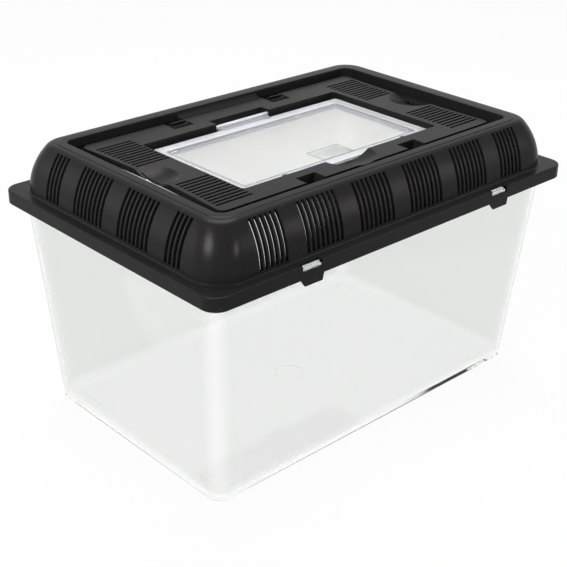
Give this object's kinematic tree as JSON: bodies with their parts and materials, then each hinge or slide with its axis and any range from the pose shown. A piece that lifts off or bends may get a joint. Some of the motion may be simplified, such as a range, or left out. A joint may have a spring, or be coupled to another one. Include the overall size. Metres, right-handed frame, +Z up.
{
  "type": "plastic pet keeper",
  "caption": "Clear tapered tub under a black vented dome lid, with a hinged top hatch that holds a small clear feeding door and snap tabs on the long sides.",
  "frame": {"origin": "on the ground under the middle of the tub, at the height of the feet's undersides", "axes": "+Z up, +X along the long side to the right seen from the front, the front with the door's finger scoop at -Y"},
  "size_m": [0.3, 0.205, 0.1789],
  "materials": {
    "clear_plastic": "clear polished moulding",
    "black_plastic": "satin moulded black"
  },
  "bodies": {
    "tub": {"tub": "clear_plastic"},
    "lid": {"lid": "black_plastic"},
    "hatch": {"hatch": "black_plastic"},
    "feeding_door": {"feeding_door": "clear_plastic"},
    "snap_tab_front_left": {"snap_tab_front_left": "black_plastic"},
    "snap_tab_front_right": {"snap_tab_front_right": "black_plastic"},
    "snap_tab_rear_left": {"snap_tab_rear_left": "black_plastic"},
    "snap_tab_rear_right": {"snap_tab_rear_right": "black_plastic"}
  },
  "joints": [
    {"name": "lid_lift", "type": "slide", "parent": "tub", "child": "lid", "axis": [0, 0, 1], "range_m": [0, 0.06]},
    {"name": "hatch_hinge", "type": "hinge", "parent": "lid", "child": "hatch", "pos_m": [0, 0.0615, 0.1735], "axis": [-1, 0, 0], "range_deg": [0, 110]},
    {"name": "door_hinge", "type": "hinge", "parent": "hatch", "child": "feeding_door", "pos_m": [-0.0025, 0.047, 0.1723], "axis": [-1, 0, 0], "range_deg": [0, 100]},
    {"name": "tab_front_left_flex", "type": "hinge", "parent": "lid", "child": "snap_tab_front_left", "pos_m": [-0.08, -0.1007, 0.1465], "axis": [-1, 0, 0], "range_deg": [0, 15], "stiffness_Nm_per_rad": 0.2},
    {"name": "tab_front_right_flex", "type": "hinge", "parent": "lid", "child": "snap_tab_front_right", "pos_m": [0.0818, -0.1007, 0.1465], "axis": [-1, 0, 0], "range_deg": [0, 15], "stiffness_Nm_per_rad": 0.2},
    {"name": "tab_rear_left_flex", "type": "hinge", "parent": "lid", "child": "snap_tab_rear_left", "pos_m": [-0.08, 0.1007, 0.1465], "axis": [1, 0, 0], "range_deg": [0, 15], "stiffness_Nm_per_rad": 0.2},
    {"name": "tab_rear_right_flex", "type": "hinge", "parent": "lid", "child": "snap_tab_rear_right", "pos_m": [0.0818, 0.1007, 0.1465], "axis": [1, 0, 0], "range_deg": [0, 15], "stiffness_Nm_per_rad": 0.2}
  ]
}
